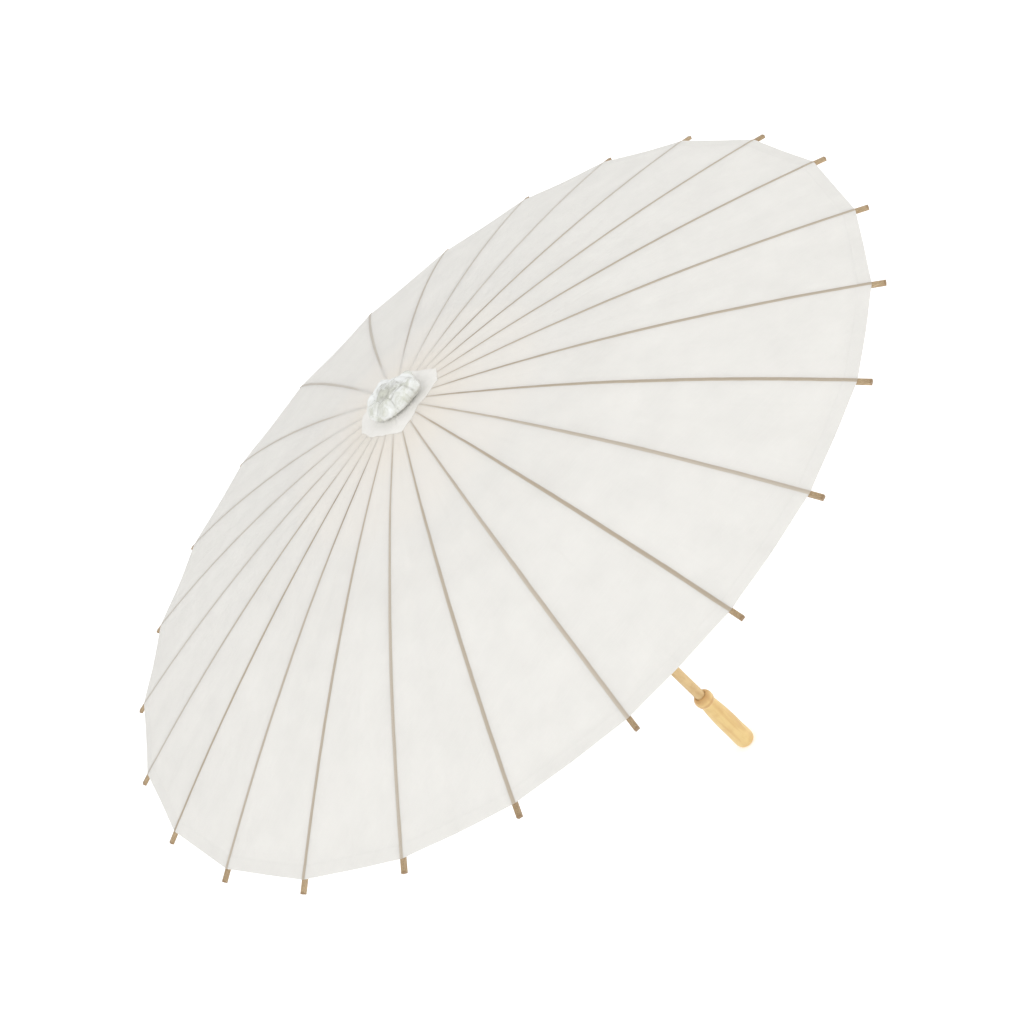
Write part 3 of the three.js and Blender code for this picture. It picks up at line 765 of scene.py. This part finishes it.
def wood_look(name, pale, dark, gloss, contrast, coat=0.0, dark_band_z=None):
    """Straight-grained wood along Z: growth bands, pores and the turning tool's faint rings."""
    look = Look(name)
    point, x, y, z = look.place()
    stretched = look.vector(x, y, look.times(z, 0.1))
    band = look.noise(stretched, 150, 3.0, 0.55, 0.8)
    pore_grid = look.vector(
        look.times(x, 2400), look.times(y, 2400), look.times(z, 120))
    pores = look.noise(pore_grid, 1.0, 2.0, 0.6)
    cloudy = look.noise(point, 60, 3.0, 0.6)
    colour = look.mix(look.times(look.step(0.4, 0.68, band), contrast), pale, dark)
    flecks = look.step(0.6, 0.76, pores)
    colour = look.mix(look.times(flecks, 0.8 * contrast), colour, dark)
    colour = look.mix(look.times(look.step(0.4, 0.75, cloudy), contrast), colour, dark)
    rings = look.noise(look.vector(0.0, 0.0, look.times(z, 260)), 1.0, 3.0, 0.6)
    colour = look.mix(look.times(look.step(0.56, 0.72, rings), 0.5 * contrast), colour, dark)
    # A darker band round the given height, with the wood above it darker and more orange.
    if dark_band_z is not None:
        off = look.math("ABSOLUTE", look.math("SUBTRACT", z, dark_band_z))
        dark_band = look.inverse(look.step(0.2 * MM, 3.2 * MM, off))
        colour = look.mix(look.times(dark_band, 0.65), colour, rgb(192, 142, 86))
        over = look.step(dark_band_z + 2 * MM, dark_band_z + 9 * MM, z)
        colour = look.mix(look.times(over, 0.7), colour, rgb(206, 157, 100))
    normal = look.bump(pores, 0.08 * MM, 0.5)
    tool = look.noise(look.vector(0.0, 0.0, look.times(z, 2200)), 1.0, 2.0)
    normal = look.bump(tool, 0.05 * MM, 0.5, normal)
    roughness = look.ramp(pores, [(0.3, grey(gloss)), (0.75, grey(gloss + 0.18))])
    return look.finish(colour, roughness, normal, Specular_IOR_Level=0.45, Coat_Weight=coat)


def thread_look(name, dark, pale):
    """Cotton thread: matt and slightly fuzzy."""
    look = Look(name)
    point, _, _, _ = look.place()
    fuzz = look.noise(point, 2600, 2.0, 0.7)
    colour = look.ramp(fuzz, [(0.3, dark), (0.7, pale)])
    normal = look.bump(fuzz, 0.1 * MM, 0.7)
    return look.finish(colour, 0.9, normal, Sheen_Weight=0.4)


def steel_look():
    """Drawn spring steel: fine scratches along its length."""
    look = Look("spring_steel")
    _, x, y, z = look.place()
    lines = look.vector(
        look.times(x, 900), look.times(y, 5200), look.times(z, 160))
    scratch = look.noise(lines, 1.0, 3.0, 0.6)
    colour = look.ramp(scratch, [(0.3, rgb(120, 122, 124)), (0.7, rgb(176, 178, 180))])
    roughness = look.ramp(scratch, [(0.3, grey(0.24)), (0.7, grey(0.42))])
    normal = look.bump(scratch, 0.02 * MM, 0.5)
    return look.finish(colour, roughness, normal, Metallic=1.0)


def floor_look():
    """A pale floor that glows a little, so that it comes out nearly white."""
    look = Look("studio_floor")
    point, _, _, _ = look.place()
    tone = look.noise(point, 3.0, 2.0)
    colour = look.ramp(tone, [(0.3, rgb(250, 250, 250)), (0.7, rgb(253, 253, 253))])
    look.shader.inputs["Emission Color"].default_value = (1, 1, 1, 1)
    return look.finish(colour, 0.9, Specular_IOR_Level=0.0, Emission_Strength=0.3)


# ---- Camera, light and floor ----

CAMERA_LIFT = math.radians(31.26)  # above the plane of the rim
CAMERA_ROLL = math.radians(45.89)
CAMERA_TURN = math.radians(-8.37)  # about Z, from -Y
CAMERA_OFFSET = Vector((31.9, -29.9, 1644.6)) * MM  # across, up and back from the rim's middle
LENS, SENSOR = 66.44, 36
WORLD_STRENGTH = 0.86
KEY_POWER, FILL_POWER = 20, 7
FLOOR_SIZE, FLOOR_Z = 18, -0.0006


def make_camera():
    """The photograph's view, set in the rim plane's own axes and then turned about the shaft."""
    back = Vector((0, -math.cos(CAMERA_LIFT), math.sin(CAMERA_LIFT)))
    level = Vector((1, 0, 0))
    upright = back.cross(level)
    cosine, sine = math.cos(CAMERA_ROLL), math.sin(CAMERA_ROLL)
    right = cosine * level - sine * upright
    up = sine * level + cosine * upright
    axes = Matrix((right, up, back)).transposed()
    placed = axes.to_4x4()
    placed.translation = axes @ CAMERA_OFFSET
    data = bpy.data.cameras.new("camera")
    data.lens = LENS
    data.sensor_width = SENSOR
    data.clip_start, data.clip_end = 0.01, 50
    camera = bpy.data.objects.new("camera", data)
    bpy.context.scene.collection.objects.link(camera)
    turn = Matrix.Rotation(CAMERA_TURN, 4, "Z")
    camera.matrix_world = Matrix.Translation((0, 0, RIM_Z)) @ turn @ placed
    bpy.context.scene.camera = camera


def area_light(name, place, target, size, power):
    """A round lamp that faces its target."""
    data = bpy.data.lights.new(name, "AREA")
    data.shape = "DISK"
    data.size = size
    data.energy = power
    lamp = bpy.data.objects.new(name, data)
    lamp.location = place
    lamp.rotation_euler = (Vector(target) - Vector(place)).to_track_quat("-Z", "Y").to_euler()
    bpy.context.scene.collection.objects.link(lamp)


def make_studio():
    """White surroundings, two soft lamps and a pale floor just under the handle."""
    world = bpy.data.worlds.new("studio")
    world.use_nodes = True
    world.node_tree.nodes["Background"].inputs["Color"].default_value = (1, 1, 1, 1)
    world.node_tree.nodes["Background"].inputs["Strength"].default_value = WORLD_STRENGTH
    bpy.context.scene.world = world
    bpy.context.scene.view_settings.view_transform = "Standard"
    middle = (0, 0, RIM_Z)
    area_light("key", (-1.3, -1.4, 2.6), middle, 1.8, KEY_POWER)
    area_light("fill", (1.8, -0.6, 1.2), middle, 2.2, FILL_POWER)
    half = FLOOR_SIZE / 2
    floor = mesh_object(
        "floor",
        [(-half, -half, 0), (half, -half, 0), (half, half, 0), (-half, half, 0)],
        [(0, 1, 2, 3)],
    )
    floor.location.z = FLOOR_Z
    floor.data.materials.append(floor_look())


# ---- Assembly ----


def fold_with_rib(piece, index):
    """The piece moves with its rib."""
    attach(piece, f"rib_{index + 1:02d}")
    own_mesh(piece)


def soften(node, width, material):
    """Rounds a CAD node's edges and gives it its material."""
    made = frame["nodes"][node]
    rounding = made.modifiers.new("edges", "BEVEL")
    rounding.width = width
    rounding.segments = 2
    rounding.limit_method = "ANGLE"
    rounding.angle_limit = math.radians(40)
    made.data.materials.clear()
    made.data.materials.append(material)


def make_papers():
    """The gores and the skirt's strips, one of each on every rib."""
    paper, skirt_paper = paper_look(), skirt_look()
    for index in range(RIBS):
        gore = make_gore(index)
        gore.data.materials.append(paper)
        fold_with_rib(gore, index)
        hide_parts("canopy")
        skirt = make_skirt(index)
        skirt.data.materials.append(skirt_paper)
        fold_with_rib(skirt, index)
        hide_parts("cap_cover")
        outer = skirt_edge(index * PITCH)


def put_on(piece, material, node, body):
    """Gives a piece its material and its body, and hides the CAD node that it stands for."""
    piece.data.materials.append(material)
    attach(piece, body)
    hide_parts(node)


def make_other_pieces():
    """The wrap, the threads and the handle."""
    cap = make_cap()
    put_on(cap, cap_look(), "cap_cover", "root")

    tie_thread = thread_look("cap_thread", rgb(206, 205, 198), rgb(234, 233, 229))
    hinge_thread = thread_look("thread", rgb(190, 180, 160), rgb(226, 218, 202))
    put_on(make_cap_tie(), tie_thread, "cap_tie", "root")
    for node, body in (("notch_thread", "root"), ("runner_thread", "runner")):
        put_on(make_hinge_thread(f"{node}_ring", node), hinge_thread, node, body)

    wood = wood_look("handle_wood", rgb(233, 203, 138), rgb(206, 160, 97), 0.38, 0.45,
                     coat=0.2, dark_band_z=73.5 * MM)
    put_on(lathe("handle_turned", handle_outline()), wood, "handle", "root")


def finish_frame():
    """Materials and rounded edges for the CAD nodes that stay."""
    rib = bamboo_look("rib_bamboo", rgb(206, 184, 148), rgb(188, 163, 125), rgb(150, 124, 90),
                      tip=rgb(140, 112, 80))
    stretcher = bamboo_look(
        "stretcher_bamboo", rgb(216, 197, 162), rgb(203, 180, 141), rgb(170, 143, 104))
    for index in range(RIBS):
        soften(f"rib_{index + 1:02d}", 0.35 * MM, rib)
        soften(f"stretcher_{index + 1:02d}", 0.3 * MM, stretcher)
    hub = wood_look("hub_wood", rgb(222, 196, 150), rgb(196, 162, 112), 0.5, 0.6)
    soften("top_notch", 0.25 * MM, hub)
    soften("runner", 0.25 * MM, hub)
    soften("stop_peg", 0.2 * MM, hub)
    shaft = wood_look("shaft_wood", rgb(221, 192, 140), rgb(192, 155, 104), 0.5, 0.65)
    soften("shaft", 0.15 * MM, shaft)
    steel = steel_look()
    soften("catch_spring", 0.1 * MM, steel)
    soften("catch_pin", 0.1 * MM, steel)


make_camera()
make_studio()
make_papers()
make_other_pieces()
finish_frame()
